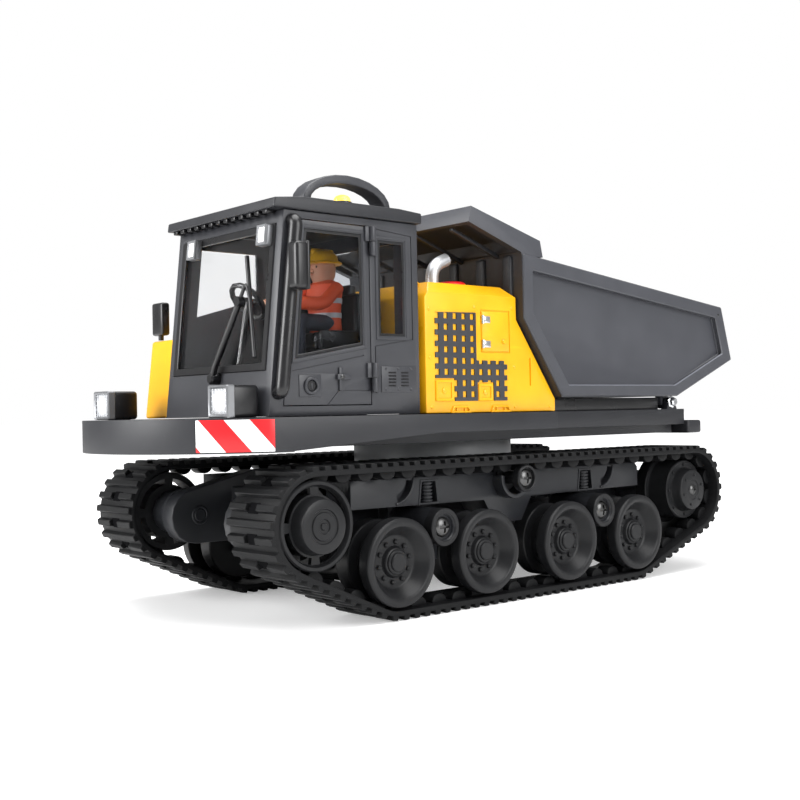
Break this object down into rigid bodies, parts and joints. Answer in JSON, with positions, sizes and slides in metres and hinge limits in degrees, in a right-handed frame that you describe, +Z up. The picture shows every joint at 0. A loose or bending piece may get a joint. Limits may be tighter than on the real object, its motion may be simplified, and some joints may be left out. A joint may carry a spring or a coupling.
{
  "type": "radio-controlled tracked dumper",
  "caption": "Toy tracked dumper: rubber belts on bogie wheels, a slewing deck with a cab and driver, engine cover, and a tipping load bed lifted by rams.",
  "frame": {"origin": "on the ground under the middle of the overall box", "axes": "+X to the vehicle's left, +Y to its rear, +Z up"},
  "size_m": [0.134, 0.3168, 0.1675],
  "materials": {
    "charcoal_plastic": "charcoal grey moulded plastic with a light sheen",
    "black_plastic": "black moulded plastic",
    "track_rubber": "dark grey rubber with fine dust",
    "yellow_plastic": "bright yellow moulded plastic",
    "tinted_window": "clear grey-tinted plastic glazing",
    "amber_lens": "amber translucent lens",
    "bright_metal": "bright plated metal",
    "figure_plastic": "painted soft plastic",
    "cell_wrap": "shrink-wrapped cells",
    "board_green": "green circuit board"
  },
  "bodies": {
    "chassis": {"chassis_tub": "charcoal_plastic", "belly_cover": "charcoal_plastic", "battery_pack": "cell_wrap", "slew_ring": "black_plastic", "left_track_belt": "track_rubber", "left_track_frame": "charcoal_plastic", "left_final_drive": "charcoal_plastic", "right_track_belt": "track_rubber", "right_track_frame": "charcoal_plastic", "right_final_drive": "charcoal_plastic"},
    "power_switch": {"power_switch": "black_plastic"},
    "deck": {"deck": "charcoal_plastic", "turntable_hub": "charcoal_plastic", "slew_motor": "bright_metal", "control_board": "board_green", "tail_bumper": "charcoal_plastic", "left_headlight": "charcoal_plastic", "right_headlight": "charcoal_plastic", "cab_shell": "charcoal_plastic", "cab_roof": "charcoal_plastic", "windshield": "tinted_window", "rear_window": "tinted_window", "right_window": "tinted_window", "quarter_window": "tinted_window", "seat": "black_plastic", "driver": "figure_plastic", "steering_wheel": "black_plastic", "handrail": "black_plastic", "left_mirror": "black_plastic", "right_mirror": "black_plastic", "roof_hoop": "charcoal_plastic", "beacon": "amber_lens", "engine_cover": "yellow_plastic", "side_hood": "yellow_plastic", "exhaust_pipe": "bright_metal"},
    "door": {"cab_door": "charcoal_plastic", "door_window": "tinted_window"},
    "dump_body": {"dump_body": "charcoal_plastic"},
    "left_sprocket": {"left_sprocket": "charcoal_plastic"},
    "left_idler": {"left_idler": "charcoal_plastic"},
    "left_upper_roller": {"left_upper_roller": "charcoal_plastic"},
    "left_front_bogie": {"left_front_bogie": "charcoal_plastic"},
    "left_front_bogie_front_wheel": {"left_front_bogie_front_wheel": "charcoal_plastic"},
    "left_front_bogie_rear_wheel": {"left_front_bogie_rear_wheel": "charcoal_plastic"},
    "left_rear_bogie": {"left_rear_bogie": "charcoal_plastic"},
    "left_rear_bogie_front_wheel": {"left_rear_bogie_front_wheel": "charcoal_plastic"},
    "left_rear_bogie_rear_wheel": {"left_rear_bogie_rear_wheel": "charcoal_plastic"},
    "left_lift_rod": {"left_lift_rod": "bright_metal"},
    "left_lift_cylinder": {"left_lift_cylinder": "black_plastic"},
    "right_sprocket": {"right_sprocket": "charcoal_plastic"},
    "right_idler": {"right_idler": "charcoal_plastic"},
    "right_upper_roller": {"right_upper_roller": "charcoal_plastic"},
    "right_front_bogie": {"right_front_bogie": "charcoal_plastic"},
    "right_front_bogie_front_wheel": {"right_front_bogie_front_wheel": "charcoal_plastic"},
    "right_front_bogie_rear_wheel": {"right_front_bogie_rear_wheel": "charcoal_plastic"},
    "right_rear_bogie": {"right_rear_bogie": "charcoal_plastic"},
    "right_rear_bogie_front_wheel": {"right_rear_bogie_front_wheel": "charcoal_plastic"},
    "right_rear_bogie_rear_wheel": {"right_rear_bogie_rear_wheel": "charcoal_plastic"},
    "right_lift_rod": {"right_lift_rod": "bright_metal"},
    "right_lift_cylinder": {"right_lift_cylinder": "black_plastic"}
  },
  "joints": [
    {"name": "slew", "type": "hinge", "parent": "chassis", "child": "deck", "pos_m": [0, 0.006, 0.065], "axis": [0, 0, 1], "continuous": true},
    {"name": "dump_tip", "type": "hinge", "parent": "deck", "child": "dump_body", "pos_m": [0, 0.114, 0.0803], "axis": [-1, 0, 0], "range_deg": [0, 45]},
    {"name": "door_hinge", "type": "hinge", "parent": "deck", "child": "door", "pos_m": [0.0562, -0.074, 0.081], "axis": [0, 0, 1], "range_deg": [0, 75]},
    {"name": "power_switch_slide", "type": "slide", "parent": "chassis", "child": "power_switch", "axis": [0, 1, 0], "range_m": [0, 0.003]},
    {"name": "left_sprocket_spin", "type": "hinge", "parent": "chassis", "child": "left_sprocket", "pos_m": [0.0505, 0.1175, 0.038], "axis": [1, 0, 0], "continuous": true},
    {"name": "left_idler_spin", "type": "hinge", "parent": "chassis", "child": "left_idler", "pos_m": [0.0505, -0.1073, 0.038], "axis": [1, 0, 0], "continuous": true},
    {"name": "left_upper_roller_spin", "type": "hinge", "parent": "chassis", "child": "left_upper_roller", "pos_m": [0.0505, 0.0005, 0.0495], "axis": [1, 0, 0], "continuous": true},
    {"name": "left_front_bogie_rock", "type": "hinge", "parent": "chassis", "child": "left_front_bogie", "pos_m": [0.05, -0.0468, 0.033], "axis": [1, 0, 0], "range_deg": [-2.5, 2.5]},
    {"name": "left_front_bogie_front_wheel_spin", "type": "hinge", "parent": "left_front_bogie", "child": "left_front_bogie_front_wheel", "pos_m": [0.055, -0.07, 0.0216], "axis": [1, 0, 0], "continuous": true},
    {"name": "left_front_bogie_rear_wheel_spin", "type": "hinge", "parent": "left_front_bogie", "child": "left_front_bogie_rear_wheel", "pos_m": [0.055, -0.0236, 0.0216], "axis": [1, 0, 0], "continuous": true},
    {"name": "left_rear_bogie_rock", "type": "hinge", "parent": "chassis", "child": "left_rear_bogie", "pos_m": [0.05, 0.0489, 0.033], "axis": [1, 0, 0], "range_deg": [-2.5, 2.5]},
    {"name": "left_rear_bogie_front_wheel_spin", "type": "hinge", "parent": "left_rear_bogie", "child": "left_rear_bogie_front_wheel", "pos_m": [0.055, 0.0257, 0.0216], "axis": [1, 0, 0], "continuous": true},
    {"name": "left_rear_bogie_rear_wheel_spin", "type": "hinge", "parent": "left_rear_bogie", "child": "left_rear_bogie_rear_wheel", "pos_m": [0.055, 0.0721, 0.0216], "axis": [1, 0, 0], "continuous": true},
    {"name": "left_ram_swing", "type": "hinge", "parent": "deck", "child": "left_lift_rod", "pos_m": [0.042, 0.096, 0.071], "axis": [-1, 0, 0], "range_deg": [0, 52]},
    {"name": "left_ram_extend", "type": "slide", "parent": "left_lift_rod", "child": "left_lift_cylinder", "axis": [0, -0.9906, 0.137], "range_m": [0, 0.0138]},
    {"name": "right_sprocket_spin", "type": "hinge", "parent": "chassis", "child": "right_sprocket", "pos_m": [-0.0505, 0.1175, 0.038], "axis": [1, 0, 0], "continuous": true},
    {"name": "right_idler_spin", "type": "hinge", "parent": "chassis", "child": "right_idler", "pos_m": [-0.0505, -0.1073, 0.038], "axis": [1, 0, 0], "continuous": true},
    {"name": "right_upper_roller_spin", "type": "hinge", "parent": "chassis", "child": "right_upper_roller", "pos_m": [-0.0505, 0.0005, 0.0495], "axis": [1, 0, 0], "continuous": true},
    {"name": "right_front_bogie_rock", "type": "hinge", "parent": "chassis", "child": "right_front_bogie", "pos_m": [-0.05, -0.0468, 0.033], "axis": [1, 0, 0], "range_deg": [-2.5, 2.5]},
    {"name": "right_front_bogie_front_wheel_spin", "type": "hinge", "parent": "right_front_bogie", "child": "right_front_bogie_front_wheel", "pos_m": [-0.055, -0.07, 0.0216], "axis": [1, 0, 0], "continuous": true},
    {"name": "right_front_bogie_rear_wheel_spin", "type": "hinge", "parent": "right_front_bogie", "child": "right_front_bogie_rear_wheel", "pos_m": [-0.055, -0.0236, 0.0216], "axis": [1, 0, 0], "continuous": true},
    {"name": "right_rear_bogie_rock", "type": "hinge", "parent": "chassis", "child": "right_rear_bogie", "pos_m": [-0.05, 0.0489, 0.033], "axis": [1, 0, 0], "range_deg": [-2.5, 2.5]},
    {"name": "right_rear_bogie_front_wheel_spin", "type": "hinge", "parent": "right_rear_bogie", "child": "right_rear_bogie_front_wheel", "pos_m": [-0.055, 0.0257, 0.0216], "axis": [1, 0, 0], "continuous": true},
    {"name": "right_rear_bogie_rear_wheel_spin", "type": "hinge", "parent": "right_rear_bogie", "child": "right_rear_bogie_rear_wheel", "pos_m": [-0.055, 0.0721, 0.0216], "axis": [1, 0, 0], "continuous": true},
    {"name": "right_ram_swing", "type": "hinge", "parent": "deck", "child": "right_lift_rod", "pos_m": [-0.042, 0.096, 0.071], "axis": [-1, 0, 0], "range_deg": [0, 52]},
    {"name": "right_ram_extend", "type": "slide", "parent": "right_lift_rod", "child": "right_lift_cylinder", "axis": [0, -0.9906, 0.137], "range_m": [0, 0.0138]}
  ],
  "couplings": [
    {"joint": "left_idler_spin", "follows": "left_sprocket_spin", "ratio": 1},
    {"joint": "left_upper_roller_spin", "follows": "left_sprocket_spin", "ratio": 2.9286},
    {"joint": "left_front_bogie_front_wheel_spin", "follows": "left_sprocket_spin", "ratio": 0.9762},
    {"joint": "left_front_bogie_rear_wheel_spin", "follows": "left_sprocket_spin", "ratio": 0.9762},
    {"joint": "left_rear_bogie_front_wheel_spin", "follows": "left_sprocket_spin", "ratio": 0.9762},
    {"joint": "left_rear_bogie_rear_wheel_spin", "follows": "left_sprocket_spin", "ratio": 0.9762},
    {"joint": "left_ram_swing", "follows": "dump_tip", "ratio": 1.142},
    {"joint": "left_ram_extend", "follows": "dump_tip", "m_per_rad": 0.01719},
    {"joint": "right_idler_spin", "follows": "right_sprocket_spin", "ratio": 1},
    {"joint": "right_upper_roller_spin", "follows": "right_sprocket_spin", "ratio": 2.9286},
    {"joint": "right_front_bogie_front_wheel_spin", "follows": "right_sprocket_spin", "ratio": 0.9762},
    {"joint": "right_front_bogie_rear_wheel_spin", "follows": "right_sprocket_spin", "ratio": 0.9762},
    {"joint": "right_rear_bogie_front_wheel_spin", "follows": "right_sprocket_spin", "ratio": 0.9762},
    {"joint": "right_rear_bogie_rear_wheel_spin", "follows": "right_sprocket_spin", "ratio": 0.9762},
    {"joint": "right_ram_swing", "follows": "dump_tip", "ratio": 1.142},
    {"joint": "right_ram_extend", "follows": "dump_tip", "m_per_rad": 0.01719}
  ]
}
